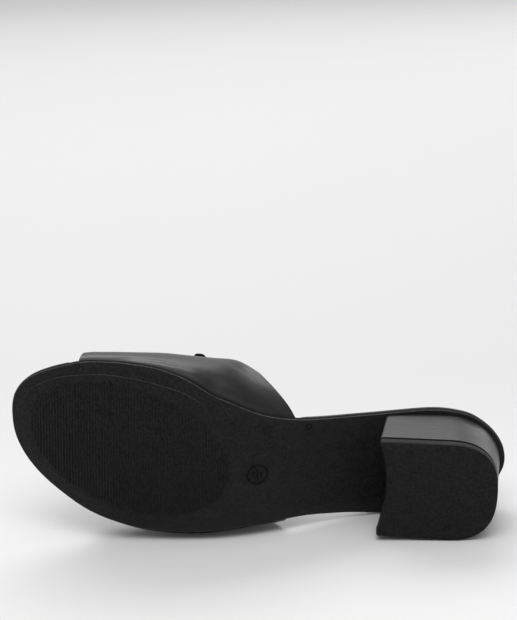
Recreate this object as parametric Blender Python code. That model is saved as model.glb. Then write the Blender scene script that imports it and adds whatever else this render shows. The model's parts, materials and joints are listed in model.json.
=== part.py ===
"""Block heel mule, the right shoe, lying on its outer side.

The shoe is worked out in its own frame, in metres. X runs from the back of the heel to the
toe, Y to the inner side of the foot, and Z up from the ground that the shoe is worn on.
The last step lays the shoe on its outer side, with the sole facing -Y and the toe at -X.
"""
from math import acos, cos, pi, radians, sin

import bmesh
import bpy
import numpy as np
from mathutils import Matrix, Vector

# Driving sizes
SOLE_LENGTH = 0.248
BALL_WIDTH = 0.091
HEEL_HEIGHT = 0.0400
TOE_SPRING = 0.0092
INSTEP_HEIGHT = 0.064

# Outsole
EDGE_THICKNESS = 0.0024
BEVEL_BAND = 0.0068
BEVEL_RISE = 0.0012

# Insole
INSOLE_THICKNESS = 0.0034
INSOLE_ROUND = 0.0013
INSOLE_MARGIN = 0.0004
CLEARANCE = 0.0003

# Heel block and its top piece
TIP_WIDTH = 0.0522
TIP_LENGTH = 0.0595
TIP_BACK = 0.0058
TIP_SHIFT = -0.0006
TIP_THICKNESS = 0.0050
TIP_CHAMFER = 0.0006
SEAT_INSET_BACK = 0.0014
SEAT_INSET_SIDE = 0.0018
BREAST_LEAN = 0.0031
BREAST_HOLLOW = 0.0046
CORNER_RADIUS = 0.0014
TIP_SQUARENESS = 2.6
SEAT_SQUARENESS = 2.2

# Vamp
VAMP_WALL = 0.0020
FEATHER_MARGIN = 0.0032
REBATE_RUN = 0.0055

# Pleat on the vamp's inner shoulder
PLEAT_LENGTH = 0.0080
PLEAT_SPAN = 0.0120
PLEAT_HEIGHT = 0.0022
PLEAT_EDGE = 0.0008
PLEAT_TAPER = 0.3

# How finely the curved pieces are cut into facets
SOLE_STATIONS = 64
ARC_FACETS = 16
VAMP_RINGS = 22
VAMP_AROUND = 46
PLEAT_FACETS = 8

# Sole edge seen from below: shares of SOLE_LENGTH and of BALL_WIDTH from the heel's axis
OUTLINE_COLUMNS = ("along", "inner", "outer")
OUTLINE_ROWS = (
    (0.000, 0.011, 0.011),
    (0.010, 0.116, -0.088),
    (0.038, 0.211, -0.187),
    (0.089, 0.290, -0.276),
    (0.153, 0.314, -0.309),
    (0.242, 0.299, -0.314),
    (0.292, 0.294, -0.302),
    (0.343, 0.300, -0.284),
    (0.415, 0.319, -0.266),
    (0.484, 0.364, -0.275),
    (0.560, 0.460, -0.294),
    (0.600, 0.510, -0.307),
    (0.641, 0.585, -0.315),
    (0.718, 0.655, -0.309),
    (0.786, 0.672, -0.274),
    (0.839, 0.667, -0.222),
    (0.887, 0.633, -0.142),
    (0.925, 0.594, -0.066),
    (0.960, 0.541, 0.026),
    (0.982, 0.482, 0.113),
    (0.996, 0.410, 0.211),
    (1.000, 0.324, 0.324),
)

# Underside of the sole from the side: shares of HEEL_HEIGHT and of TOE_SPRING
PROFILE_COLUMNS = ("along", "heel", "toe")
PROFILE_ROWS = (
    (0.000, 1.000, 0.00),
    (0.081, 0.960, 0.00),
    (0.161, 0.908, 0.00),
    (0.242, 0.830, 0.00),
    (0.302, 0.700, 0.00),
    (0.363, 0.524, 0.00),
    (0.423, 0.338, 0.00),
    (0.484, 0.172, 0.00),
    (0.544, 0.057, 0.00),
    (0.605, 0.007, 0.00),
    (0.645, 0.000, 0.00),
    (0.746, 0.000, 0.00),
    (0.847, 0.000, 0.16),
    (0.927, 0.000, 0.50),
    (1.000, 0.000, 1.00),
)

# Vamp sections. The reach is how far a side swells past the sole edge and the place where
# the crown lies, both shares of BALL_WIDTH. The rise is where the side is widest and the
# crown the height of the top, shares of INSTEP_HEIGHT above the sole and above the ground.
SECTION_COLUMNS = (
    "along", "inner_reach", "inner_rise", "outer_reach", "outer_rise", "crown", "place")
SECTION_ROWS = (
    (0.400, 0.060, 0.26, 0.050, 0.10, 1.20, 0.07),
    (0.484, 0.080, 0.29, 0.052, 0.10, 1.12, 0.11),
    (0.565, 0.112, 0.30, 0.056, 0.09, 1.01, 0.15),
    (0.665, 0.026, 0.21, 0.057, 0.09, 0.83, 0.19),
    (0.766, 0.005, 0.12, 0.050, 0.09, 0.66, 0.21),
    (0.870, 0.007, 0.09, 0.038, 0.09, 0.525, 0.24),
)

# Back and front edge of the vamp, round it from the inner sole edge to the outer one:
# shares of SOLE_LENGTH
RIM_COLUMNS = ("around", "back", "front")
RIM_ROWS = (
    (0.00, 0.424, 0.861),
    (0.06, 0.446, 0.862),
    (0.12, 0.478, 0.859),
    (0.18, 0.501, 0.856),
    (0.24, 0.517, 0.853),
    (0.36, 0.545, 0.849),
    (0.50, 0.558, 0.846),
    (0.64, 0.549, 0.845),
    (0.76, 0.518, 0.846),
    (0.88, 0.458, 0.850),
    (1.00, 0.432, 0.856),
)
# Share of the way round at which the side of the vamp is widest
TURN_SHARE = 0.12
# Middle of the pleat: share of the way from the vamp's back edge, and round it
PLEAT_PLACE = 0.33
PLEAT_AROUND = 0.27

DENSITY = {"outsole": 1080, "heel_block": 620, "top_piece": 1120, "insole": 560,
           "vamp": 900, "vamp_pleat": 900}


def monotone_curve(xs, ys):
    """Smooth curve through the points that neither overshoots nor waves between them."""
    xs = np.array(xs, float)
    ys = np.array(ys, float)
    steps = np.diff(xs)
    slopes = np.diff(ys) / steps
    tangents = np.zeros(len(xs))
    tangents[0], tangents[-1] = slopes[0], slopes[-1]
    for i in range(1, len(xs) - 1):
        if slopes[i - 1] * slopes[i] > 0:
            left = 2 * steps[i] + steps[i - 1]
            right = steps[i] + 2 * steps[i - 1]
            tangents[i] = (left + right) / (left / slopes[i - 1] + right / slopes[i])

    def value(x):
        i = int(np.clip(np.searchsorted(xs, x) - 1, 0, len(steps) - 1))
        t = (x - xs[i]) / steps[i]
        t2, t3 = t * t, t * t * t
        return float((2 * t3 - 3 * t2 + 1) * ys[i] + (t3 - 2 * t2 + t) * steps[i] * tangents[i]
                     + (3 * t2 - 2 * t3) * ys[i + 1] + (t3 - t2) * steps[i] * tangents[i + 1])

    return value


def columns(names, rows, warp=None):
    """One curve per named column, over the first column."""
    keys = [warp(row[0]) if warp else row[0] for row in rows]
    return {name: monotone_curve(keys, [row[k] for row in rows])
            for k, name in enumerate(names) if k > 0}


def turn(along):
    """Share of the length as an angle, which makes both round ends of the sole even."""
    return acos(min(max(1 - 2 * along, -1), 1))


def ramp(value, start, end):
    """Soft step from 0 at start to 1 at end."""
    t = min(max((value - start) / (end - start), 0), 1)
    return t * t * (3 - 2 * t)


outline = columns(OUTLINE_COLUMNS, OUTLINE_ROWS, turn)
profile = columns(PROFILE_COLUMNS, PROFILE_ROWS)
section = columns(SECTION_COLUMNS, SECTION_ROWS)
rim = columns(RIM_COLUMNS, RIM_ROWS)


def edge(side, x):
    """Place of the sole edge across, on the inner or the outer side."""
    return BALL_WIDTH * outline[side](turn(x / SOLE_LENGTH))


def under(x):
    """Height of the sole's underside above the ground."""
    along = min(max(x / SOLE_LENGTH, 0), 1)
    return HEEL_HEIGHT * profile["heel"](along) + TOE_SPRING * profile["toe"](along)


BREAST = TIP_BACK + TIP_LENGTH - BREAST_LEAN


def bevel_rise(x):
    """How far the sole edge stands above the underside: nothing over the heel."""
    return BEVEL_RISE * ramp(x, BREAST, BREAST + 2 * BEVEL_BAND)


def sole_top(x):
    """Height of the outsole's upper face."""
    return under(x) + bevel_rise(x) + EDGE_THICKNESS


def sole_loop():
    """Points of the sole edge in plan: back, inner side, toe, outer side."""
    shares = [(1 - cos(pi * k / SOLE_STATIONS)) / 2 for k in range(SOLE_STATIONS + 1)]
    back, front = RIM_ROWS[0][1], RIM_ROWS[0][2]
    run = REBATE_RUN / SOLE_LENGTH
    shares += [back - run, back - run / 2, front + run / 2, front + run]
    shares = sorted(set(shares))
    inner = [(SOLE_LENGTH * a, BALL_WIDTH * outline["inner"](turn(a))) for a in shares]
    outer = [(SOLE_LENGTH * a, BALL_WIDTH * outline["outer"](turn(a))) for a in shares[1:-1]]
    return np.array(inner + outer[::-1])


def inset(loop, margin):
    """The loop moved inwards by a margin, which may differ from point to point."""
    along = np.roll(loop, -1, axis=0) - np.roll(loop, 1, axis=0)
    along /= np.linalg.norm(along, axis=1)[:, None]
    inwards = np.column_stack([along[:, 1], -along[:, 0]])
    return loop + inwards * np.reshape(margin, (-1, 1))


def lifted(loop, height):
    """The plan loop as points in space, each at the height that height(x) gives."""
    return [Vector((x, y, height(x))) for x, y in loop]


def material(name, colour, roughness):
    made = bpy.data.materials.new(name)
    made.use_nodes = True
    shader = made.node_tree.nodes["Principled BSDF"]
    shader.inputs["Base Color"].default_value = (*colour, 1)
    shader.inputs["Roughness"].default_value = roughness
    shader.inputs["Metallic"].default_value = 0
    return made


def finish(name, mesh, made_of, sharp=40):
    """Object from a bmesh, with its faces pointing out."""
    bmesh.ops.recalc_face_normals(mesh, faces=mesh.faces)
    data = bpy.data.meshes.new(name)
    mesh.to_mesh(data)
    mesh.free()
    data.materials.append(made_of)
    data.shade_smooth()
    data.set_sharp_from_angle(angle=radians(sharp))
    piece = bpy.data.objects.new(name, data)
    bpy.context.scene.collection.objects.link(piece)
    return piece


def stacked(name, loops, made_of, sharp=40, strips=None):
    """Solid between loops of equally many points, closed by strips from side to side.

    Past the given number of strips, one face closes the rest of each end.
    """
    mesh = bmesh.new()
    rings = [[mesh.verts.new(p) for p in loop] for loop in loops]
    count = len(rings[0])
    for low, high in zip(rings, rings[1:]):
        for i in range(count):
            j = (i + 1) % count
            mesh.faces.new((low[i], low[j], high[j], high[i]))
    last = count // 2 if strips is None else strips
    for ring in (rings[0], rings[-1]):
        for i in range(last):
            corners = (ring[i], ring[i + 1], ring[count - i - 1], ring[(count - i) % count])
            mesh.faces.new(tuple(dict.fromkeys(corners)))
        if strips:
            mesh.faces.new(ring[last:count - last + 1])
    return finish(name, mesh, made_of, sharp)


def sheet(name, outer, inner, made_of, sharp=40):
    """Solid between two grids of points that face each other."""
    mesh = bmesh.new()
    grids = [[[mesh.verts.new(p) for p in row] for row in grid] for grid in (outer, inner)]
    rows, cols = len(outer), len(outer[0])
    for grid in grids:
        for i in range(rows - 1):
            for j in range(cols - 1):
                mesh.faces.new((grid[i][j], grid[i][j + 1], grid[i + 1][j + 1], grid[i + 1][j]))
    border = [(0, j) for j in range(cols)] + [(i, cols - 1) for i in range(1, rows)]
    border += [(rows - 1, j) for j in range(cols - 2, -1, -1)]
    border += [(i, 0) for i in range(rows - 2, 0, -1)]
    for (i, j), (k, l) in zip(border, border[1:] + border[:1]):
        mesh.faces.new((grids[0][i][j], grids[0][k][l], grids[1][k][l], grids[1][i][j]))
    return finish(name, mesh, made_of, sharp)


def heel_loop(back, half_width, corner, squareness, shift, margin=0.0):
    """Plan of the heel: a D with a round back and a hollow breast, moved across by shift.

    It starts at the back, runs along the inner side to the breast's corner, across the
    breast and back along the outer side.
    """
    back, half_width, corner = back + margin, half_width - margin, corner - margin
    middle = back + half_width
    side = []
    for k in range(ARC_FACETS + 1):
        angle = pi / 2 * k / ARC_FACETS
        side.append((middle - half_width * cos(angle) ** (2 / squareness),
                     half_width * sin(angle) ** (2 / squareness)))
    hollow = BREAST_HOLLOW * (1 - (1 - CORNER_RADIUS / half_width) ** 2)
    corner_x = corner - hollow - CORNER_RADIUS
    corner_y = half_width - CORNER_RADIUS
    for k in range(1, 5):
        side.append((middle + (corner_x - middle) * k / 4, half_width))
    for k in range(1, 6):
        angle = pi / 2 * (1 - k / 5)
        side.append((corner_x + CORNER_RADIUS * cos(angle), corner_y + CORNER_RADIUS * sin(angle)))
    for k in range(1, ARC_FACETS // 2 + 1):
        y = corner_y * (1 - 2 * k / ARC_FACETS)
        side.append((corner - BREAST_HOLLOW * (1 - (y / half_width) ** 2), y))
    return np.array(side + [(x, -y) for x, y in side[-2:0:-1]]) + (0, shift)


def vamp_point(x, around):
    """Point of the vamp's outer face: x along the shoe, 0 to 1 round from the inner side."""
    side = "inner" if around <= 0.5 else "outer"
    way = 1 if side == "inner" else -1
    share = around if side == "inner" else 1 - around
    along = x / SOLE_LENGTH
    floor = sole_top(x) + CLEARANCE
    foot = edge(side, x) - way * FEATHER_MARGIN
    wide = edge(side, x) + way * BALL_WIDTH * section[side + "_reach"](along)
    rise = INSTEP_HEIGHT * section[side + "_rise"](along)
    crown = INSTEP_HEIGHT * section["crown"](along)
    place = BALL_WIDTH * section["place"](along)
    if share < TURN_SHARE:
        angle = pi / 2 * share / TURN_SHARE
        return Vector((x, foot + (wide - foot) * sin(angle), floor + rise * (1 - cos(angle))))
    angle = pi / 2 * (share - TURN_SHARE) / (0.5 - TURN_SHARE)
    y = place + (wide - place) * cos(angle)
    return Vector((x, y, floor + rise + (crown - floor - rise) * sin(angle)))


def vamp_frame(x, around):
    """Point of the vamp's outer face and the direction out of it."""
    step, swing = 0.0004, 0.002
    a, b = max(around - swing, 0), min(around + swing, 1)
    across = vamp_point(x, b) - vamp_point(x, a)
    forward = vamp_point(x + step, around) - vamp_point(x - step, around)
    return vamp_point(x, around), across.cross(forward).normalized()


def vamp_place(u, around):
    """Place along the shoe: u is 0 at the vamp's back edge and 1 at its front edge."""
    back, front = rim["back"](around), rim["front"](around)
    return SOLE_LENGTH * (back + (front - back) * u)


for old in list(bpy.data.objects):
    bpy.data.objects.remove(old, do_unlink=True)

rubber = material("outsole rubber", (0.016, 0.016, 0.017), 0.62)
tip_rubber = material("top piece rubber", (0.012, 0.012, 0.013), 0.70)
wrapped = material("heel covering", (0.020, 0.020, 0.021), 0.42)
lining = material("insole lining", (0.026, 0.025, 0.025), 0.60)
leather = material("vamp leather", (0.022, 0.022, 0.023), 0.40)

plan = sole_loop()
tread = inset(plan, BEVEL_BAND)
outsole = stacked("outsole", [
    lifted(tread, under),
    lifted(plan, lambda x: under(x) + bevel_rise(x)),
    lifted(plan, sole_top),
], rubber, 12)

# The insole steps in where the vamp is lasted beside it
rebate_back = SOLE_LENGTH * RIM_ROWS[0][1]
rebate_front = SOLE_LENGTH * RIM_ROWS[0][2]
rebate = np.array([
    ramp(x, rebate_back - REBATE_RUN, rebate_back - REBATE_RUN / 3)
    * (1 - ramp(x, rebate_front + REBATE_RUN / 3, rebate_front + REBATE_RUN))
    for x in plan[:, 0]])
margin = INSOLE_MARGIN + (FEATHER_MARGIN + CLEARANCE - INSOLE_MARGIN) * rebate
insole_levels = ((0, 0), (0, INSOLE_THICKNESS - INSOLE_ROUND),
                 (0.30 * INSOLE_ROUND, INSOLE_THICKNESS - 0.30 * INSOLE_ROUND),
                 (INSOLE_ROUND, INSOLE_THICKNESS))
insole = stacked("insole", [
    lifted(inset(plan, margin + step), lambda x, h=height: sole_top(x) + CLEARANCE + h)
    for step, height in insole_levels
], lining)

seat_half = (edge("inner", BREAST / 2) - edge("outer", BREAST / 2)) / 2 - SEAT_INSET_SIDE
foot_of_block = TIP_THICKNESS + CLEARANCE
block_loops = []
for share in (0, 0.25, 0.5, 0.75, 1):
    ring = heel_loop(
        TIP_BACK + (SEAT_INSET_BACK - TIP_BACK) * share,
        TIP_WIDTH / 2 + (seat_half - TIP_WIDTH / 2) * share,
        TIP_BACK + TIP_LENGTH - BREAST_LEAN * share,
        TIP_SQUARENESS + (SEAT_SQUARENESS - TIP_SQUARENESS) * share,
        TIP_SHIFT * (1 - share))
    block_loops.append(lifted(ring, lambda x, t=share: (
        foot_of_block + (under(x) - CLEARANCE - foot_of_block) * t)))
heel_block = stacked("heel_block", block_loops, wrapped, 30, ARC_FACETS + 3)

tip_sizes = (TIP_BACK, TIP_WIDTH / 2, TIP_BACK + TIP_LENGTH, TIP_SQUARENESS, TIP_SHIFT)
top_piece = stacked("top_piece", [
    lifted(heel_loop(*tip_sizes, TIP_CHAMFER), lambda x: 0.0),
    lifted(heel_loop(*tip_sizes), lambda x: TIP_CHAMFER),
    lifted(heel_loop(*tip_sizes), lambda x: TIP_THICKNESS),
], tip_rubber, 30, ARC_FACETS + 3)

outer_face, inner_face = [], []
for i in range(VAMP_RINGS + 1):
    outer_row, inner_row = [], []
    for j in range(VAMP_AROUND + 1):
        around = j / VAMP_AROUND
        point, out = vamp_frame(vamp_place(i / VAMP_RINGS, around), around)
        outer_row.append(point)
        inner_row.append(point - out * VAMP_WALL)
    outer_face.append(outer_row)
    inner_face.append(inner_row)
vamp = sheet("vamp", outer_face, inner_face, leather)

# A low pleat lies over the vamp's inner shoulder
pleat_outer, pleat_inner = [], []
pleat_middle = vamp_place(PLEAT_PLACE, PLEAT_AROUND)
swing = (vamp_point(pleat_middle, PLEAT_AROUND + 0.01)
         - vamp_point(pleat_middle, PLEAT_AROUND - 0.01)).length / 0.02
for i in range(PLEAT_FACETS + 1):
    outer_row, inner_row = [], []
    for j in range(PLEAT_FACETS + 1):
        a, b = 2 * i / PLEAT_FACETS - 1, 2 * j / PLEAT_FACETS - 1
        x = pleat_middle + a * PLEAT_LENGTH / 2 * (1 - PLEAT_TAPER * b * b)
        point, out = vamp_frame(x, PLEAT_AROUND + b * PLEAT_SPAN / 2 / swing)
        dome = (PLEAT_HEIGHT - PLEAT_EDGE) * (1 - a ** 4) * (1 - b ** 4)
        outer_row.append(point + out * (CLEARANCE + PLEAT_EDGE + dome))
        inner_row.append(point + out * CLEARANCE)
    pleat_outer.append(outer_row)
    pleat_inner.append(inner_row)
pleat = sheet("vamp_pleat", pleat_outer, pleat_inner, leather)

pieces = [outsole, insole, heel_block, top_piece, vamp, pleat]


def balance():
    """Centre of mass of the shoe in its own frame."""
    weight, moment = 0.0, Vector()
    for piece in pieces:
        mesh = bmesh.new()
        mesh.from_mesh(piece.data)
        bmesh.ops.triangulate(mesh, faces=mesh.faces)
        for face in mesh.faces:
            a, b, c = (v.co for v in face.verts)
            part = DENSITY[piece.name] * a.dot(b.cross(c)) / 6
            weight += part
            moment += part * (a + b + c) / 4
        mesh.free()
    return moment / weight


def floor_direction():
    """Way down, in the shoe's frame, when the shoe lies still on its outer side."""
    hull = bmesh.new()
    for piece in pieces:
        for vertex in piece.data.vertices:
            hull.verts.new(vertex.co)
    bmesh.ops.convex_hull(hull, input=hull.verts)
    centre = balance()
    best, down = -1.0, Vector((0, -1, 0))
    for face in hull.faces:
        corners = [v.co for v in face.verts]
        out = (corners[1] - corners[0]).cross(corners[2] - corners[0]).normalized()
        if out.dot(corners[0] - centre) < 0:
            out = -out
            corners.reverse()
        inside = all((b - a).cross(centre - a).dot(out) > 0
                     for a, b in zip(corners, corners[1:] + corners[:1]))
        if inside and -out.y > best:
            best, down = -out.y, out
    hull.free()
    return down


down = floor_direction()
up = -down
left = Vector((1, 0, 0)) - up * up.x
left.normalize()
world_x = -left
world_y = up.cross(world_x)
turned = Matrix((world_x, world_y, up))
spots = [turned @ v.co for piece in pieces for v in piece.data.vertices]
low = Vector([min(p[k] for p in spots) for k in range(3)])
high = Vector([max(p[k] for p in spots) for k in range(3)])
shift = -Vector(((low.x + high.x) / 2, (low.y + high.y) / 2, low.z))

shoe = bpy.data.objects.new("shoe", None)
bpy.context.scene.collection.objects.link(shoe)
shoe.matrix_world = Matrix.Translation(shift) @ turned.to_4x4()
for piece in pieces:
    piece.parent = shoe
bpy.context.view_layer.update()
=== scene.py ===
import json
from math import atan2, cos, exp, pi, radians, sin

import bmesh
import bpy
from mathutils import Matrix, Vector
from mathutils.bvhtree import BVHTree
from mathutils.kdtree import KDTree


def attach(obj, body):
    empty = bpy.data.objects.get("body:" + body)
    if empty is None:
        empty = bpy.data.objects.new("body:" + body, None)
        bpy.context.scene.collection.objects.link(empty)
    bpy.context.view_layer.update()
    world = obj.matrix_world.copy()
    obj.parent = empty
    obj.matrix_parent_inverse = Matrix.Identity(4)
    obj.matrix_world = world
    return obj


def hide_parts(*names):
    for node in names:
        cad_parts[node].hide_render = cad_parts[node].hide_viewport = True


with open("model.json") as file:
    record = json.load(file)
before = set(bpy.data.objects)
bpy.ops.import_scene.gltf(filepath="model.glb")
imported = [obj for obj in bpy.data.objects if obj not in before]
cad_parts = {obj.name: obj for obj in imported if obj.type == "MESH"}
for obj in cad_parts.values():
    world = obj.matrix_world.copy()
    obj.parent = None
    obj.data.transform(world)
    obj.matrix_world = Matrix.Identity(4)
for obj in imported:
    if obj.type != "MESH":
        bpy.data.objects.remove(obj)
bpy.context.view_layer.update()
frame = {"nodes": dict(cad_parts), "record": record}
mm = 0.001
print("frame loaded")


def clamped(value):
    return min(max(value, 0.0), 1.0)


# The shoe's own frame: x to the toe, y to the inner side, z up from the ground it is worn on
groundFaces = {
    "heel": (34 * mm, 0),           # middle of the top piece, along and across
    "forefoot": (172 * mm, 15 * mm),
}
mounts = {mount["name"]: mount for mount in frame["record"]["mounts"]}
heelPoint = Vector(mounts["heel_ground_face"]["pos_m"])
forefootPoint = Vector(mounts["forefoot_ground_face"]["pos_m"])
shoeUp = -Vector(mounts["heel_ground_face"]["axis"]).normalized()
swing = atan2(groundFaces["forefoot"][1] - groundFaces["heel"][1],
              groundFaces["forefoot"][0] - groundFaces["heel"][0])
between = forefootPoint - heelPoint
between = (between - shoeUp * between.dot(shoeUp)).normalized()
shoeAlong = between * cos(swing) - shoeUp.cross(between) * sin(swing)
shoeAcross = shoeUp.cross(shoeAlong)
shoeOrigin = heelPoint - shoeAlong * groundFaces["heel"][0]
shoeAxes = Matrix((shoeAlong, shoeAcross, shoeUp)).transposed()
toWorld = Matrix.Translation(shoeOrigin) @ shoeAxes.to_4x4()
toShoe = toWorld.inverted()

# The camera as it stands to the sole
view = {
    "distance": 950 * mm,
    "aside": 2.5,                   # degrees off the sole's normal, to the heel
    "above": 25,                    # degrees off it, to the inner side
    "roll": -1.46,
    "aimAt": (124 * mm, 0, 15 * mm),
    "aimPixel": (260.0, 471.6),     # where that point falls in the frame
    "frame": (517, 620),
    "focalPixels": 1885.6,
    "sensor": 36,
}


def makeCamera():
    aside, above, roll = (radians(view[k]) for k in ("aside", "above", "roll"))
    outwards = Vector((-sin(aside) * cos(above), sin(above), -cos(aside) * cos(above)))
    sight = -outwards
    right = sight.cross(Vector((0, 1, 0))).normalized()
    up = right.cross(sight)
    right, up = right * cos(roll) - up * sin(roll), up * cos(roll) + right * sin(roll)
    offX = (view["aimPixel"][0] - view["frame"][0] / 2) / view["focalPixels"]
    offY = (view["aimPixel"][1] - view["frame"][1] / 2) / view["focalPixels"]
    sight = (sight - right * offX + up * offY).normalized()
    right = (right - sight * right.dot(sight)).normalized()
    up = right.cross(sight)
    place = Vector(view["aimAt"]) + outwards * view["distance"]
    camera = bpy.data.objects.new("camera", bpy.data.cameras.new("camera"))
    camera.data.sensor_width = view["sensor"]
    camera.data.lens = view["focalPixels"] * view["sensor"] / max(view["frame"])
    camera.data.clip_start = 0.05
    turned = Matrix((right, up, -sight)).transposed()
    camera.matrix_world = toWorld @ Matrix.Translation(place) @ turned.to_4x4()
    bpy.context.scene.collection.objects.link(camera)
    bpy.context.scene.camera = camera


makeCamera()
print("camera placed")


# One value of a finish: arithmetic on it adds the maths nodes
class Value:
    def __init__(self, finish, socket):
        self.finish = finish
        self.socket = socket

    def maths(self, operation, first, second):
        return self.finish.add("ShaderNodeMath", {"operation": operation}, {0: first, 1: second})

    def __add__(self, other):
        return self.maths("ADD", self, other)

    def __sub__(self, other):
        return self.maths("SUBTRACT", self, other)

    def __rsub__(self, other):
        return self.maths("SUBTRACT", other, self)

    def __mul__(self, other):
        return self.maths("MULTIPLY", self, other)

    __radd__ = __add__
    __rmul__ = __mul__


class Finish:
    def __init__(self, name, **fixed):
        self.material = bpy.data.materials.new(name)
        self.material.use_nodes = True
        self.tree = self.material.node_tree
        self.shader = self.tree.nodes["Principled BSDF"]
        for socket, given in fixed.items():
            self.shader.inputs[socket].default_value = given
        coordinates = self.tree.nodes.new("ShaderNodeTexCoord").outputs["Object"]
        self.place = self.add(          # millimetres in the shoe's own frame
            "ShaderNodeMapping", {"vector_type": "TEXTURE"},
            {"Vector": Value(self, coordinates), "Location": shoeOrigin,
             "Rotation": shoeAxes.to_euler(), "Scale": (mm, mm, mm)})

    def add(self, kind, settings, inputs, output=0):
        node = self.tree.nodes.new(kind)
        for key, setting in settings.items():
            setattr(node, key, setting)
        for key, given in inputs.items():
            if isinstance(given, Value):
                self.tree.links.new(given.socket, node.inputs[key])
            else:
                node.inputs[key].default_value = given
        return Value(self, node.outputs[output])

    def scaled(self, size, stretch):
        return self.add("ShaderNodeVectorMath", {"operation": "MULTIPLY"},
                        {0: self.place, 1: tuple(s / size for s in stretch)})

    def noise(self, size, detail=2.0, roughness=0.5, stretch=(1, 1, 1)):
        return self.add("ShaderNodeTexNoise", {},
                        {"Vector": self.scaled(size, stretch), "Scale": 1.0, "Detail": detail,
                         "Roughness": roughness})

    def cells(self, size, stretch=(1, 1, 1)):
        return self.add("ShaderNodeTexVoronoi", {},
                        {"Vector": self.scaled(size, stretch), "Scale": 1.0})

    def stepped(self, value, low, high):
        return self.add("ShaderNodeMapRange", {"interpolation_type": "SMOOTHSTEP"},
                        {"Value": value, "From Min": low, "From Max": high})

    def mixed(self, share, first, second):
        return self.add("ShaderNodeMix", {"data_type": "RGBA"}, {0: share, 6: first, 7: second}, 2)

    def bump(self, height, depth):
        return self.add("ShaderNodeBump", {},
                        {"Height": height, "Distance": depth, "Strength": 1.0})

    def feed(self, **values):
        for socket, given in values.items():
            self.tree.links.new(given.socket, self.shader.inputs[socket.replace("_", " ")])


def grey(shade, warm=0.0):
    return (shade * (1 + warm), shade, shade * (1 - warm), 1)


# Moulded rubber: fine matte grain, paler to its rim (painted light with some wear), with dust
# lying on it and scuffs from wear
def rubberFinish(name, shade, gloss, shine, dust):
    finish = Finish(name, Metallic=0.0, **{"Specular IOR Level": shine})
    grain = finish.stepped(finish.noise(0.7, 2, 0.6), 0.25, 0.75)
    speckle = finish.stepped(finish.noise(1.35, 3, 0.7), 0.38, 0.62)
    mottle = finish.stepped(finish.noise(6.5, 4, 0.62), 0.30, 0.70)
    clouds = finish.noise(34, 3, 0.55)
    specks = finish.stepped(finish.cells(3.2), 0.085, 0.04)
    specks = specks * finish.stepped(finish.noise(15, 2), 0.55, 0.64)
    scuffs = finish.stepped(finish.noise(4, 5, 0.7, (0.3, 1.0, 1.0)), 0.54, 0.74)
    scuffs = scuffs * finish.stepped(clouds, 0.44, 0.62)
    rim = finish.add("ShaderNodeAttribute", {"attribute_name": "rim"}, {}, 2)
    cast = finish.mixed(speckle * 0.52 + mottle * 0.23 + grain * 0.25,
                        grey(shade * 0.02), grey(shade * 2.05))
    # the rim attribute pales the rubber: painted light, with some wear
    tone = finish.mixed(rim * (mottle * 0.35 + 0.30), cast, grey(shade * 1.9))
    tone = finish.mixed(scuffs * 0.30, tone, grey(shade * 2.8))
    tone = finish.mixed(specks * dust, tone, grey(0.09, 0.06))
    finish.feed(Base_Color=tone,
                Roughness=gloss + mottle * 0.10 + speckle * 0.08 - scuffs * 0.06,
                Normal=finish.bump(grain * 0.9 + speckle * 0.8 + mottle * 0.9 - scuffs * 0.5,
                                   0.14 * mm))
    return finish.material


# Soft leather: pores, fine wrinkles and a slight change of shine, with painted shade where it
# meets the sole
def leatherFinish(name, shade, gloss, wrinkle=1.0, shine=0.5):
    finish = Finish(name, Metallic=0.0, **{"Specular IOR Level": shine})
    pores = finish.cells(0.62, (1.0, 1.25, 1.0))
    grain = finish.noise(0.9, 4, 0.6)
    soft = finish.noise(16, 3, 0.5)
    wrinkles = finish.noise(5.0, 4, 0.62, (0.35, 1.0, 1.0))
    # the low attribute carries painted shade where the vamp meets the sole
    low = finish.add("ShaderNodeAttribute", {"attribute_name": "low"}, {}, 2)
    tone = finish.mixed(soft, grey(shade * 0.80), grey(shade * 1.22, -0.02))
    tone = finish.mixed(low, tone, grey(0.0005))
    finish.feed(Base_Color=tone,
                Roughness=gloss + grain * 0.07 + soft * 0.07 + low * 0.5,
                Normal=finish.bump(pores * 0.45 + grain * 0.5 + wrinkles * 1.3 * wrinkle,
                                   0.05 * mm))
    return finish.material


# Smooth covering of the heel, with fine brushed lines round it
def coveringFinish(name, shade):
    finish = Finish(name, Metallic=0.0, **{"Specular IOR Level": 0.5})
    lines = finish.stepped(finish.noise(1.3, 3, 0.65, (0.06, 0.06, 1.0)), 0.30, 0.70)
    soft = finish.stepped(finish.noise(11, 3, 0.5, (0.5, 0.5, 1.0)), 0.30, 0.70)
    grain = finish.noise(0.7, 3)
    tone = finish.mixed(soft * 0.3 + lines * 0.45 + grain * 0.25, grey(shade * 0.45),
                        grey(shade * 1.55, -0.01))
    finish.feed(Base_Color=tone,
                Roughness=0.33 + lines * 0.13 + soft * 0.07 + grain * 0.05,
                Normal=finish.bump(lines * 1.6 + grain * 1.0 + soft * 1.2, 0.05 * mm))
    return finish.material


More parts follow.
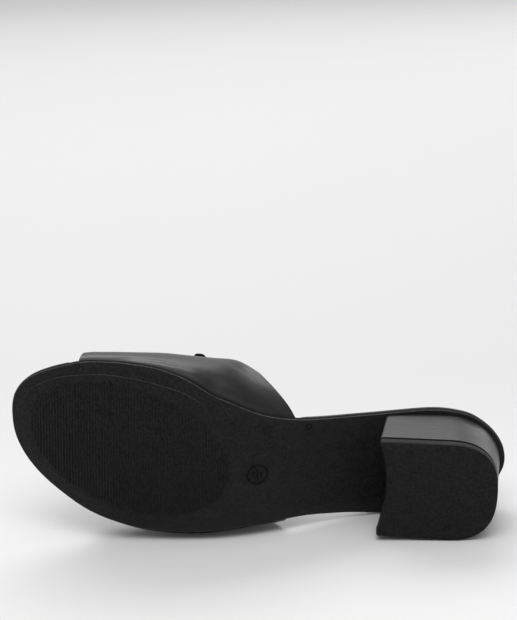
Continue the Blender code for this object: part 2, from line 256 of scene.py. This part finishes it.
finishes = {
    "outsole": rubberFinish("moulded rubber", 0.0088, 0.52, 0.15, 0.8),
    # near-black wall of the sole: painted shade for the gap between sole and upper
    "wallShade": rubberFinish("rubber wall with painted shade", 0.0030, 0.66, 0.08, 0.2),
    # pale corner between wall and underside: painted highlight
    "corner": rubberFinish("rubber corner with painted highlight", 0.0300, 0.42, 0.35, 0.0),
    # paler rubber for the moulded lines: painted highlight
    "line": rubberFinish("moulded line with painted highlight", 0.0170, 0.50, 0.30, 0.0),
    # slightly paler copy of the top piece rubber for its sides: painted light
    "tipEdge": rubberFinish("top piece edge with painted light", 0.0090, 0.52, 0.20, 0.0),
    # near-black rubber for the stamp and dimple: painted shade of the relief
    "stamp": rubberFinish("stamped rubber with painted shade", 0.0045, 0.60, 0.10, 0.0),
    "topPiece": rubberFinish("top piece rubber", 0.0080, 0.54, 0.15, 0.6),
    "vamp": leatherFinish("vamp leather", 0.0060, 0.26, 1.0, 0.5),
    # darker than the vamp leather: painted shade on the pleat
    "pleat": leatherFinish("pleat leather with painted shade", 0.0020, 0.75, 0.4, 0.1),
    "edge": leatherFinish("insole edge leather", 0.016, 0.50, 0.5),
    "lining": leatherFinish("lining leather", 0.030, 0.56, 0.4),
    "heel": coveringFinish("heel covering", 0.021),
    # near-black leather: painted shade in the heel's groove, and the dyed cut edge of the vamp
    "seam": leatherFinish("painted groove shade and dyed edge", 0.0025, 0.70, 0.3),
}
print("finishes made")


# A CAD node as one closed mesh in the shoe's frame, its triangles joined to quads again
def nodeCopy(node):
    mesh = bmesh.new()
    mesh.from_mesh(frame["nodes"][node].data)
    bmesh.ops.transform(mesh, matrix=toShoe, verts=mesh.verts)
    bmesh.ops.remove_doubles(mesh, verts=mesh.verts, dist=0.004 * mm)
    bmesh.ops.join_triangles(mesh, faces=mesh.faces, angle_face_threshold=radians(15),
                             angle_shape_threshold=radians(180), topology_influence=0.0)
    print(node, len(mesh.faces), "faces,", sum(len(f.verts) == 3 for f in mesh.faces), "triangles")
    return mesh


# Cuts across the long strips that close the faces of a sole
def cutStrips(mesh, cuts):
    cross = [e for e in mesh.edges
             if abs(e.verts[0].co.x - e.verts[1].co.x) < 0.02 * mm
             and all(abs(f.normal.z) > 0.75 for f in e.link_faces)]
    bmesh.ops.subdivide_edges(mesh, edges=cross, cuts=cuts, use_grid_fill=True)


def creaseEdges(mesh, angle):
    layers = mesh.edges.layers.float
    layer = layers.get("crease_edge") or layers.new("crease_edge")
    for edge in mesh.edges:
        if edge.is_manifold and edge.calc_face_angle() > radians(angle):
            edge[layer] = 1.0


# Smooth subdivision, settled into the mesh
def subdivided(mesh, levels):
    data = bpy.data.meshes.new("blank")
    mesh.to_mesh(data)
    mesh.free()
    blank = bpy.data.objects.new("blank", data)
    bpy.context.scene.collection.objects.link(blank)
    smoothing = blank.modifiers.new("smoothing", "SUBSURF")
    smoothing.levels = smoothing.render_levels = levels
    settled = bmesh.new()
    settled.from_object(blank, bpy.context.evaluated_depsgraph_get())
    bpy.data.objects.remove(blank)
    bpy.data.meshes.remove(data)
    return settled


def makePiece(name, mesh, materials, replaced=(), levels=0, bevel=0.0, bevelAngle=30):
    bmesh.ops.transform(mesh, matrix=toWorld, verts=mesh.verts)
    data = bpy.data.meshes.new(name)
    mesh.to_mesh(data)
    mesh.free()
    data.shade_smooth()
    piece = bpy.data.objects.new(name, data)
    bpy.context.scene.collection.objects.link(piece)
    for material in materials:
        data.materials.append(material)
    if levels:
        smoothing = piece.modifiers.new("smoothing", "SUBSURF")
        smoothing.levels = smoothing.render_levels = levels
    if bevel:
        rounding = piece.modifiers.new("rounding", "BEVEL")
        rounding.width, rounding.segments = bevel, 3
        rounding.limit_method, rounding.angle_limit = "ANGLE", radians(bevelAngle)
        rounding.harden_normals = False
    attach(piece, "root")
    if replaced:
        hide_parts(*replaced)


outsoleLook = {
    "cuts": 9,
    "crease": 8,                    # degrees past which an edge stays crisp
    "levels": 2,
    "edgeRound": 0.08 * mm,
    "highlightCorner": 0.34 * mm,
    "wall": 0.5,                    # a face whose normal stands up less than this is wall
    "rim": (150 * mm, 40 * mm, 0.15),       # where it turns paler, how soon, its weight ahead
    "bands": [((52, 112), 1), ((96, 186), -1)],     # paler bands, painted light with some wear: reach in millimetres, and the side
    "bandWidth": 17 * mm,
    "bandEnds": 16,                 # millimetres over which a band fades along
    "middle": (0.16, 60 * mm),      # the sole's middle line: its slope, and its place at y = 0
}
outsoleMesh = nodeCopy("outsole")
soleFinder = BVHTree.FromBMesh(outsoleMesh)
cutStrips(outsoleMesh, outsoleLook["cuts"])
outsoleMesh.normal_update()
wall = outsoleLook["wall"]
corner = [e for e in outsoleMesh.edges if e.is_manifold
          and any(abs(f.normal.z) < wall for f in e.link_faces)
          and any(f.normal.z < -wall for f in e.link_faces)]
rimShare = outsoleMesh.verts.layers.float.new("rim")


# The sole's wall takes a near-black finish, painted shade for the gap over it, and is paler at the
# waist and heel
def paleWall():
    start, run, ahead = outsoleLook["rim"]
    for face in outsoleMesh.faces:
        if abs(face.normal.z) < wall:
            face.material_index = 1
            for vertex in face.verts:
                behind = clamped((start - vertex.co.x) / run)
                vertex[rimShare] = ahead + (1 - ahead) * behind


# Bands of the underside are paler along its edge: painted light where it faces the lamps and the
# floor, with some wear
def litAndWornBands():
    outline = [v.co.copy() for e in corner for v in e.verts]
    slope, crossing = outsoleLook["middle"]
    for vertex in outsoleMesh.verts:
        if vertex.normal.z > -wall:
            continue
        for (start, end), side in outsoleLook["bands"]:
            along = vertex.co.x / mm
            ends = min(along - start, end - along) / outsoleLook["bandEnds"]
            middle = slope * (vertex.co.x - crossing)
            if ends > 0 and (vertex.co.y - middle) * side > 0:
                near = min((vertex.co - point).length for point in outline)
                fall = clamped(1 - near / outsoleLook["bandWidth"])
                vertex[rimShare] = max(vertex[rimShare], min(ends, 1) * fall)


paleWall()
litAndWornBands()
# the rounded corner takes the pale finish, a painted highlight
bmesh.ops.bevel(outsoleMesh, geom=corner, offset=outsoleLook["highlightCorner"], segments=1,
                profile=0.5, affect="EDGES", material=2)
creaseEdges(outsoleMesh, outsoleLook["crease"])
makePiece("moulded_outsole", outsoleMesh,
          [finishes[look] for look in ("outsole", "wallShade", "corner")], ["outsole"],
          outsoleLook["levels"], outsoleLook["edgeRound"])
print("outsole dressed")


def soleUnder(x, y):
    return soleFinder.ray_cast(Vector((x, y, -50 * mm)), Vector((0, 0, 1)))[0].z


# Lays a flat mesh, worked out at height 0, on the sole's underside
def layOnSole(mesh):
    for vertex in mesh.verts:
        vertex.co.z += soleUnder(vertex.co.x, vertex.co.y)


# Ribs of the tread, inside an oval under the ball
tread = {
    "middle": (188.4 * mm, 15.4 * mm),
    "halfLength": 51.8 * mm,
    "halfWidth": 31.9 * mm,
    "turn": 19.8,                   # degrees
    "pitch": 1.47 * mm,
    "ribWidth": 0.84 * mm,
    "ribHeight": 0.42 * mm,
    "ribRound": 0.24 * mm,
    "sunk": 0.30 * mm,
    "shortest": 3.0 * mm,
    "felt": 0.5 * mm,               # how far to each side the sole's slope is felt
}


def ovalSpan(offset):
    turn = radians(tread["turn"])
    a, b = tread["halfLength"], tread["halfWidth"]
    p = (cos(turn) / a) ** 2 + (sin(turn) / b) ** 2
    q = sin(turn) * cos(turn) * (1 / a ** 2 - 1 / b ** 2)
    r = (sin(turn) / a) ** 2 + (cos(turn) / b) ** 2
    root = (q * offset) ** 2 - r * (p * offset ** 2 - 1)
    return (-q * offset / r, 2 * max(root, 0) ** 0.5 / r)


def makeTread():
    mesh = bmesh.new()
    count = int(2 * tread["halfLength"] / tread["pitch"])
    for k in range(count):
        offset = (k - (count - 1) / 2) * tread["pitch"]
        centre, length = ovalSpan(offset)
        if length < tread["shortest"]:
            continue
        x, y = tread["middle"][0] + offset, tread["middle"][1] + centre
        felt = tread["felt"]
        low, high = soleUnder(x - felt, y), soleUnder(x + felt, y)
        height = tread["ribHeight"] + tread["sunk"]
        rib = bmesh.ops.create_cube(mesh, size=1.0)["verts"]
        bmesh.ops.scale(mesh, verts=rib, vec=(tread["ribWidth"], length, height))
        bmesh.ops.translate(mesh, verts=rib, vec=(0, 0, height / 2 - tread["ribHeight"]))
        bmesh.ops.rotate(mesh, verts=rib, cent=(0, 0, 0),
                         matrix=Matrix.Rotation(-atan2(high - low, 2 * felt), 4, "Y"))
        bmesh.ops.translate(mesh, verts=rib, vec=(x, y, (low + high) / 2))
    mesh.normal_update()
    lower = [e for e in mesh.edges if any(f.normal.z < -0.9 for f in e.link_faces)]
    bmesh.ops.bevel(mesh, geom=lower, offset=tread["ribRound"], segments=2, profile=0.5,
                    affect="EDGES", material=-1)
    makePiece("tread_ribs", mesh, [finishes["outsole"]])


# Thin moulded lines on the sole, in a paler finish as painted highlight: half sunk rounds along
# points in millimetres
soleLines = {
    "round": 0.28 * mm,
    "sunk": 0.03 * mm,
    "platform": [(241.4, 37.6), (237.2, 43.6), (229.0, 48.6), (219.5, 52.2), (203.5, 54.6),
                 (192.0, 54.2), (182.4, 52.8), (171.0, 50.0), (162.8, 47.5), (157.9, 45.0),
                 (152.0, 41.5)],
    "platformOuter": [(241.1, 15.3), (236.0, 6.6), (229.0, 0.9), (221.0, -3.7), (213.0, -7.6),
                      (205.7, -10.8)],
    "outerRound": 0.17 * mm,
    "steps": 6,                     # between two points
}


# A round along a smooth curve through the points, thin at both ends
def makeLine(mesh, points, size):
    steps = soleLines["steps"]
    path = [Vector((x * mm, y * mm, 0)) for x, y in points]
    fine = []
    for k in range(len(path) - 1):
        before, after = path[max(k - 1, 0)], path[min(k + 2, len(path) - 1)]
        for step in range(steps):
            t = step / steps
            fine.append(0.5 * ((2 * path[k]) + (path[k + 1] - before) * t
                               + (2 * before - 5 * path[k] + 4 * path[k + 1] - after) * t ** 2
                               + (3 * path[k] - before - 3 * path[k + 1] + after) * t ** 3))
    fine.append(path[-1])
    last = None
    for k, place in enumerate(fine):
        along = fine[min(k + 1, len(fine) - 1)] - fine[max(k - 1, 0)]
        thin = size * min(1.0, 0.15 + min(k, len(fine) - 1 - k) / steps)
        ring = bmesh.ops.create_circle(mesh, segments=8, radius=thin, cap_ends=False)["verts"]
        bmesh.ops.rotate(mesh, verts=ring, cent=(0, 0, 0),
                         matrix=along.to_track_quat("Z", "Y").to_matrix())
        bmesh.ops.translate(mesh, verts=ring, vec=place + Vector((0, 0, soleLines["sunk"])))
        edges = list({e for v in ring for e in v.link_edges})
        if last:
            bmesh.ops.bridge_loops(mesh, edges=last + edges)
        last = edges
    bmesh.ops.holes_fill(mesh, edges=mesh.edges, sides=8)


def makeSoleLines():
    mesh = bmesh.new()
    makeLine(mesh, soleLines["platform"], soleLines["round"])
    makeLine(mesh, soleLines["platformOuter"], soleLines["outerRound"])
    layOnSole(mesh)
    bmesh.ops.recalc_face_normals(mesh, faces=mesh.faces)
    makePiece("moulded_lines", mesh, [finishes["line"]])


# A plain ring on the waist with short bars in it, a small ring beside the heel and a third on the
# top piece; these two have place, radius, thickness of the round and how far it is sunk
stamp = {
    "middle": (124.8 * mm, 2.9 * mm),
    "radius": 4.9 * mm,
    "round": 0.48 * mm,
    "bars": ((-1.9, 3.4), (0.0, 5.0), (1.9, 3.4)),      # place along and length, millimetres
    "barWidth": 0.80 * mm,
    "barHeight": 0.9 * mm,
    "barRound": 0.14 * mm,
    "sunk": 0.08 * mm,
    "dimple": (100.2 * mm, 25.2 * mm, 1.3 * mm, 0.28 * mm, 0.04 * mm),
    "tipDot": (30.4 * mm, -18.5 * mm, 1.15 * mm, 0.32 * mm, 0.02 * mm),
}


def makeRing(mesh, x, y, radius, size, height):
    profile = bmesh.ops.create_circle(mesh, segments=10, radius=size, cap_ends=False)["verts"]
    bmesh.ops.rotate(mesh, verts=profile, cent=(0, 0, 0), matrix=Matrix.Rotation(pi / 2, 3, "X"))
    bmesh.ops.translate(mesh, verts=profile, vec=(x + radius, y, height))
    edges = list({e for v in profile for e in v.link_edges})
    bmesh.ops.spin(mesh, geom=profile + edges, cent=(x, y, height), axis=(0, 0, 1),
                   angle=2 * pi, steps=40, use_merge=True)


def makeStamp():
    mesh = bmesh.new()
    x, y = stamp["middle"]
    makeRing(mesh, x, y, stamp["radius"], stamp["round"], stamp["sunk"])
    for place, length in stamp["bars"]:
        bar = bmesh.ops.create_cube(mesh, size=1.0)["verts"]
        bmesh.ops.scale(mesh, verts=bar, vec=(stamp["barWidth"], length * mm, stamp["barHeight"]))
        bmesh.ops.translate(mesh, verts=bar, vec=(x + place * mm, y, stamp["sunk"]))
    makeRing(mesh, *stamp["dimple"])
    layOnSole(mesh)
    bmesh.ops.recalc_face_normals(mesh, faces=mesh.faces)
    corners = [e for e in mesh.edges if e.is_manifold and e.calc_face_angle() > radians(60)]
    bmesh.ops.bevel(mesh, geom=corners, offset=stamp["barRound"], segments=2, profile=0.5,
                    affect="EDGES", material=-1)
    # the stamp is coloured darker than the sole: painted shade
    makePiece("moulded_stamp", mesh, [finishes["stamp"]])
    dot = bmesh.new()
    makeRing(dot, *stamp["tipDot"])
    bmesh.ops.recalc_face_normals(dot, faces=dot.faces)
    makePiece("top_piece_dot", dot, [finishes["topPiece"]])


makeTread()
makeSoleLines()
makeStamp()
print("tread made")

# The insole's wrapped rim, and the sock that lies on it
insoleLook = {
    "cuts": 9,
    "crease": 50,
    "levels": 2,
    "edgeRound": 0.2 * mm,
    "rimOut": 2.7 * mm,             # the rim comes out again close behind the vamp
    "rimFrom": (99.9 * mm, 2.5 * mm),       # place along, and how long it takes
    "rimTo": (112 * mm, 6.5 * mm),
    "innerSide": 20 * mm,
}
sock = {
    "top": 0.6,                     # least that a face's normal stands up to be the top
    "inset": 1.7 * mm,
    "thickness": 0.55 * mm,
    "edgeRound": 0.16 * mm,
    "over": 0.04 * mm,
    "padHeel": (30 * mm, 0, 24 * mm, 1.1 * mm),         # along, across, spread, height
    "padBall": (172 * mm, 17 * mm, 34 * mm, 0.8 * mm),
}
insoleMesh = nodeCopy("insole")
cutStrips(insoleMesh, insoleLook["cuts"])
rimStart, startRun = insoleLook["rimFrom"]
rimEnd, endRun = insoleLook["rimTo"]
for vertex in insoleMesh.verts:
    behind = clamped((rimEnd - vertex.co.x) / endRun)
    ahead = clamped((vertex.co.x - rimStart) / startRun)
    if vertex.co.y > insoleLook["innerSide"]:
        vertex.co.y += insoleLook["rimOut"] * behind * ahead
creaseEdges(insoleMesh, insoleLook["crease"])
sockMesh = insoleMesh.copy()
makePiece("wrapped_insole", insoleMesh, [finishes["edge"]], ["insole"],
          insoleLook["levels"], insoleLook["edgeRound"])

lower = [f for f in sockMesh.faces if f.normal.z < sock["top"]]
bmesh.ops.delete(sockMesh, geom=lower, context="FACES")
insets = {}
for vertex in sockMesh.verts:
    ends = [e.other_vert(vertex).co for e in vertex.link_edges if e.is_boundary]
    if len(ends) == 2:
        inwards = (ends[0] - ends[1]).cross(Vector((0, 0, 1))).normalized()
        middle = sum((f.calc_center_median() for f in vertex.link_faces), Vector())
        middle = middle / len(vertex.link_faces) - vertex.co
        insets[vertex] = inwards * sock["inset"] * (1 if inwards.dot(middle) > 0 else -1)
for vertex, move in insets.items():
    vertex.co += move
for vertex in sockMesh.verts:
    vertex.co.z += sock["over"]
    for x, y, spread, height in (sock["padHeel"], sock["padBall"]):
        away = ((vertex.co.x - x) ** 2 + (vertex.co.y - y) ** 2) / spread ** 2
        vertex.co.z += height * exp(-away * away)
bmesh.ops.solidify(sockMesh, geom=sockMesh.faces, thickness=-sock["thickness"])
bmesh.ops.recalc_face_normals(sockMesh, faces=sockMesh.faces)
creaseEdges(sockMesh, insoleLook["crease"])
makePiece("lining_sock", sockMesh, [finishes["lining"]], [], insoleLook["levels"],
          sock["edgeRound"])
print("insole dressed")

heelLook = {
    "crease": 50,
    "levels": 2,
    "blockRound": 0.20 * mm,
    "tipRound": 0.14 * mm,
    "seam": 1.5 * mm,               # height of the dark groove over the top piece
    "seamDepth": 0.9 * mm,
    "cornerIn": 1.1 * mm,           # how far the outer breast corner draws in
    "cornerFrom": (48 * mm, 14 * mm),       # place along, and how long it takes
    "cornerUpTo": 20 * mm,
    "seatIn": 2.4 * mm,             # how far the back draws in under the seat
    "seatFrom": (30 * mm, 13 * mm),         # place along, and how long it takes
    "seatUp": (8 * mm, 29 * mm),            # height where it starts, and how far up it grows
    "seatBack": (0.4, 15 * mm),             # share right at the back, and distance to the full
    "seatMiddle": 32 * mm,
}


# The outer corner of the breast draws in, most at the ground
def drawCornerIn(mesh):
    start, run = heelLook["cornerFrom"]
    for vertex in mesh.verts:
        share = clamped((vertex.co.x - start) / run) ** 2
        share *= clamped((heelLook["cornerUpTo"] - vertex.co.z) / heelLook["cornerUpTo"])
        if vertex.co.y < 0:
            vertex.co.y += heelLook["cornerIn"] * share


# The back of the block draws in under the seat
def drawSeatIn(mesh):
    start, run = heelLook["seatFrom"]
    foot, rise = heelLook["seatUp"]
    least, full = heelLook["seatBack"]
    for vertex in mesh.verts:
        high = clamped((vertex.co.z - foot) / rise)
        back = clamped((start - vertex.co.x) / run)
        side = least + (1 - least) * min(abs(vertex.co.y) / full, 1)
        inwards = Vector((heelLook["seatMiddle"] - vertex.co.x, -vertex.co.y, 0))
        vertex.co += inwards.normalized() * heelLook["seatIn"] * high * back * side


# One piece of the heel; over the top piece the block ends in a narrow groove, coloured near-black
# as painted shade
def heelPiece(name, node, looks, rounding):
    mesh = nodeCopy(node)
    caps = [f for f in mesh.faces if abs(f.normal.z) > 0.999]
    bmesh.ops.dissolve_faces(mesh, faces=caps)
    drawCornerIn(mesh)
    if node == "heel_block":
        drawSeatIn(mesh)
    creaseEdges(mesh, heelLook["crease"])
    for face in mesh.faces:
        face.material_index = int(abs(face.normal.z) < 0.5)
    if node == "heel_block":
        foot = min(mesh.faces, key=lambda f: f.calc_center_median().z)
        bmesh.ops.translate(mesh, verts=foot.verts, vec=(0, 0, heelLook["seam"]))
        ledge = bmesh.ops.inset_region(mesh, faces=[foot], thickness=heelLook["seamDepth"],
                                       use_even_offset=True)["faces"]
        neck = bmesh.ops.extrude_discrete_faces(mesh, faces=[foot])["faces"]
        bmesh.ops.translate(mesh, verts=neck[0].verts, vec=(0, 0, -heelLook["seam"]))
        # the groove's faces take the near-black finish: painted shade
        for face in {f for v in neck[0].verts for f in v.link_faces} | set(ledge):
            face.material_index = 0
        creaseEdges(mesh, heelLook["crease"])
    makePiece(name, mesh, [finishes[look] for look in looks], [node], heelLook["levels"],
              rounding)


heelPiece("covered_heel", "heel_block", ("seam", "heel"), heelLook["blockRound"])
heelPiece("rubber_top_piece", "top_piece", ("topPiece", "tipEdge"),
          heelLook["tipRound"])
print("heel dressed")

# Soft folds of the vamp: points in millimetres along each, its width and how far it stands up
vampFolds = [
    {"path": [(176, 57, 14), (160, 55.5, 13), (148, 52, 13), (140, 49, 13.5), (132, 44.5, 14.2),
              (125, 39.8, 15), (112, 34, 16.5)],
     "width": 4.5, "lift": 0.30, "fade": (1, 0)},
    {"path": [(152, 50.4, 6.3), (142, 45.6, 6.9), (134.5, 42, 7.8), (124.7, 36.6, 9.8),
              (112, 31, 13)], "width": 3.0, "lift": -0.80, "fade": (1, 0)},
    {"path": [(196, 59.5, 5.6), (184, 58.6, 5.4), (172, 56.6, 5.4), (162, 54, 5.6),
              (152, 50.5, 6.2), (146, 48, 6.8)], "width": 3.0, "lift": 1.0, "fade": (1, 1)},
    {"path": [(202, 61.6, 9.4), (189, 61.3, 10.2), (179.4, 60.6, 11.4), (166, 58.5, 13)],
     "width": 1.7, "lift": 0.26, "fade": (1, 1)},
    {"path": [(196, 61.2, 7.5), (181, 60.3, 8.7), (171, 59.2, 9.8), (160, 57, 10.9)],
     "width": 1.7, "lift": -0.28, "fade": (1, 1)},
    {"path": [(176, 59.6, 7.4), (164, 57.2, 8.5), (152, 53.3, 9.2), (142, 49.5, 9.6)],
     "width": 1.9, "lift": 0.30, "fade": (1, 1)},
    {"path": [(192, 50, 28), (178, 45, 36), (164, 36, 45), (150, 24, 52)],
     "width": 5.0, "lift": -0.12, "fade": (1, 1)},
    {"path": [(204, 50, 25), (196, 34, 33), (190, 16, 37), (188, -4, 35)],
     "width": 5.0, "lift": -0.35, "fade": (1, 1)},
    {"path": [(176, 28, 45), (172, 14, 47), (168, 0, 46), (168, -16, 38)],
     "width": 7.0, "lift": -0.50, "fade": (1, 1)},
    {"path": [(157, 24, 52), (152, 10, 55), (150, -6, 53), (152, -20, 42)],
     "width": 8.0, "lift": 0.45, "fade": (1, 1)},
    {"path": [(178, -28, 20), (164, -31, 22), (148, -31, 26), (132, -29, 30)],
     "width": 6.0, "lift": -0.45, "fade": (1, 1)},
    {"path": [(137, 50.6, 27), (137, 49.5, 35), (137, 47.6, 41.3), (138, 44.8, 47.5),
              (138, 40.4, 53.3)], "width": 8.0, "lift": 1.2, "fade": (1, 1)},
    {"path": [(186, -22, 24), (170, -27, 30), (152, -27, 36), (138, -24, 42)],
     "width": 5.0, "lift": 0.35, "fade": (1, 1)},
]
vampLook = {
    "rimRound": 0.24 * mm,
    "crease": 55,
    "bevelFrom": 50,                # degrees past which the rim is rounded
    "levels": 2,
    "axis": (0, 14 * mm, 22 * mm),  # a line inside the vamp, to tell its outer face from the inner
    "turnIn": 8.0 * mm,             # how far the leather is turned in over the lining
    "soleShade": (0.9 * mm, 3.2 * mm),  # painted shade: full and none, at these heights above the sole
    "dyedTo": 165 * mm,
    "heldRim": 5 * mm,              # kept as it is beside the edges
    "smoothings": 60,
    "fadeOver": 0.35,               # share of a fold over which an open end fades
}


# How much of a fold is felt at a place: full on its path, fading off it and at its open ends
def foldShare(place, path, width, fade):
    nearest, along = 1.0, 0.0
    for k, (first, second) in enumerate(zip(path, path[1:])):
        side = second - first
        share = clamped((place - first).dot(side) / side.length_squared)
        away = (place - first - side * share).length
        if away < nearest:
            nearest, along = away, (k + share) / (len(path) - 1)
    ends = 1.0
    if fade[0]:
        ends *= min(along / vampLook["fadeOver"], 1.0)
    if fade[1]:
        ends *= min((1 - along) / vampLook["fadeOver"], 1.0)
    return exp(-(nearest / width) ** 2) * ends * ends * (3 - 2 * ends)


def facesOut(face):
    centre = face.calc_center_median()
    away = centre - Vector((centre.x, vampLook["axis"][1], vampLook["axis"][2]))
    return face.normal.dot(away) > 0


vampMesh = nodeCopy("vamp")
vampMesh.normal_update()
creaseEdges(vampMesh, vampLook["crease"])
rim = {v for e in vampMesh.edges if e.calc_face_angle(0) > radians(vampLook["crease"])
       for v in e.verts}
rimPoints = [v.co.copy() for v in rim]
for face in vampMesh.faces:         # the cut edge at the back is dyed darker
    if rim.issuperset(face.verts) and face.calc_center_median().x < vampLook["dyedTo"]:
        face.material_index = 2
outside = vampMesh.copy()
bmesh.ops.delete(outside, geom=[f for f in outside.faces if not facesOut(f)], context="FACES")
outsideFinder = BVHTree.FromBMesh(outside)
outside.free()
vampMesh = subdivided(vampMesh, vampLook["levels"])
rimFinder = KDTree(len(rimPoints))
for k, point in enumerate(rimPoints):
    rimFinder.insert(point, k)
rimFinder.balance()
loose = [v for v in vampMesh.verts if rimFinder.find(v.co)[2] > vampLook["heldRim"]]
for turn in range(vampLook["smoothings"]):
    bmesh.ops.smooth_vert(vampMesh, verts=loose, factor=0.5, use_axis_x=True, use_axis_y=True,
                          use_axis_z=True)
folds = [([Vector(p) * mm for p in fold["path"]], fold["width"] * mm, fold["lift"] * mm,
          fold["fade"]) for fold in vampFolds]
moves = []
for vertex in vampMesh.verts:
    outwards = outsideFinder.find_nearest(vertex.co)[1]
    lift = sum(height * foldShare(vertex.co, path, width, fade)
               for path, width, height, fade in folds)
    moves.append(outwards * lift)
# painted shade on the vamp close to the sole, kept in the low attribute
low = vampMesh.verts.layers.float.new("low")
full, none = vampLook["soleShade"]
for vertex, move in zip(vampMesh.verts, moves):
    above = soleFinder.find_nearest(vertex.co)[3]
    vertex[low] = clamped((none - above) / (none - full))
    vertex.co += move
vampMesh.normal_update()
for face in vampMesh.faces:
    if not facesOut(face) and rimFinder.find(face.calc_center_median())[2] > vampLook["turnIn"]:
        face.material_index = 1
makePiece("soft_vamp", vampMesh,
          [finishes["vamp"], finishes["lining"], finishes["seam"]], ["vamp"],
          bevel=vampLook["rimRound"], bevelAngle=vampLook["bevelFrom"])

pleatLook = {"shorter": 0.25, "lower": 0.25, "crease": 60, "levels": 2}
pleatMesh = nodeCopy("vamp_pleat")
creaseEdges(pleatMesh, pleatLook["crease"])
middle = sum((v.co for v in pleatMesh.verts), Vector()) / len(pleatMesh.verts)
for vertex in pleatMesh.verts:      # lower and shorter than the solid
    vertex.co.x += (middle.x - vertex.co.x) * pleatLook["shorter"]
    foot = outsideFinder.find_nearest(vertex.co)[0]
    vertex.co += (foot - vertex.co) * pleatLook["lower"]
makePiece("soft_pleat", pleatMesh, [finishes["pleat"]], ["vamp_pleat"],
          pleatLook["levels"])
print("vamp dressed")

studio = {
    "floorTone": 0.69,
    "farShadeTone": 0.59,                # the paper behind is coloured darker, painted shade
    "far": (-60, 260),              # millimetres behind the shoe
    "paper": (2.2, 0.7, 2.0),       # half its width, the curve behind and its height over that
    "room": 0.40,                   # strength of the light from all round
    "lamps": [                      # name, place, size, watts
        ("key", (-0.4, 1.15, 1.5), (2.0, 1.0), 22.0),
        ("overhead", (0.1, -0.5, 2.2), (2.8, 2.0), 21.0),
        ("back", (0.0, 1.5, 0.48), (1.8, 0.5), 1.4),
        ("front", (0.0, -1.2, 2.0), (1.6, 1.2), 20.0),
        ("low", (0.85, 1.4, 0.25), (0.7, 0.5), 2.2),
    ],
}


def makeStudio():
    half, curve, height = studio["paper"]
    sweep = bmesh.new()
    bmesh.ops.create_grid(sweep, x_segments=1, y_segments=1, size=half)
    far = [e for e in sweep.edges if all(v.co.y > half - 0.1 for v in e.verts)]
    bmesh.ops.spin(sweep, geom=far, cent=(0, half, curve), axis=(1, 0, 0), angle=pi / 2, steps=24)
    top = [e for e in sweep.edges if all(v.co.z > curve - 0.01 for v in e.verts)]
    raised = bmesh.ops.extrude_edge_only(sweep, edges=top)["geom"]
    bmesh.ops.translate(sweep, verts=[v for v in raised if isinstance(v, bmesh.types.BMVert)],
                        vec=(0, 0, height))
    data = bpy.data.meshes.new("backdrop")
    sweep.to_mesh(data)
    sweep.free()
    data.shade_smooth()
    backdrop = bpy.data.objects.new("backdrop", data)
    bpy.context.scene.collection.objects.link(backdrop)
    paper = Finish("pale paper", Roughness=0.85)
    soft = paper.noise(260, 2)
    depth = paper.add("ShaderNodeSeparateXYZ", {}, {0: paper.place}, 2)
    # the paper darkens behind the shoe: painted shade
    far = paper.stepped(depth, *studio["far"])
    near = paper.mixed(soft, grey(studio["floorTone"] * 0.985), grey(studio["floorTone"]))
    paper.feed(Base_Color=paper.mixed(far, near, grey(studio["farShadeTone"])))
    data.materials.append(paper.material)

    for name, place, size, watts in studio["lamps"]:
        lamp = bpy.data.objects.new(name, bpy.data.lights.new(name, "AREA"))
        lamp.data.shape = "RECTANGLE"
        lamp.data.size, lamp.data.size_y = size
        lamp.data.energy = watts
        lamp.location = place
        lamp.rotation_euler = (-Vector(place)).to_track_quat("-Z", "Y").to_euler()
        bpy.context.scene.collection.objects.link(lamp)
    room = bpy.data.worlds.new("room")
    room.use_nodes = True
    room.node_tree.nodes["Background"].inputs["Color"].default_value = (1, 1, 1, 1)
    room.node_tree.nodes["Background"].inputs["Strength"].default_value = studio["room"]
    bpy.context.scene.world = room
    bpy.context.scene.view_settings.view_transform = "Standard"


makeStudio()
print("studio lit")
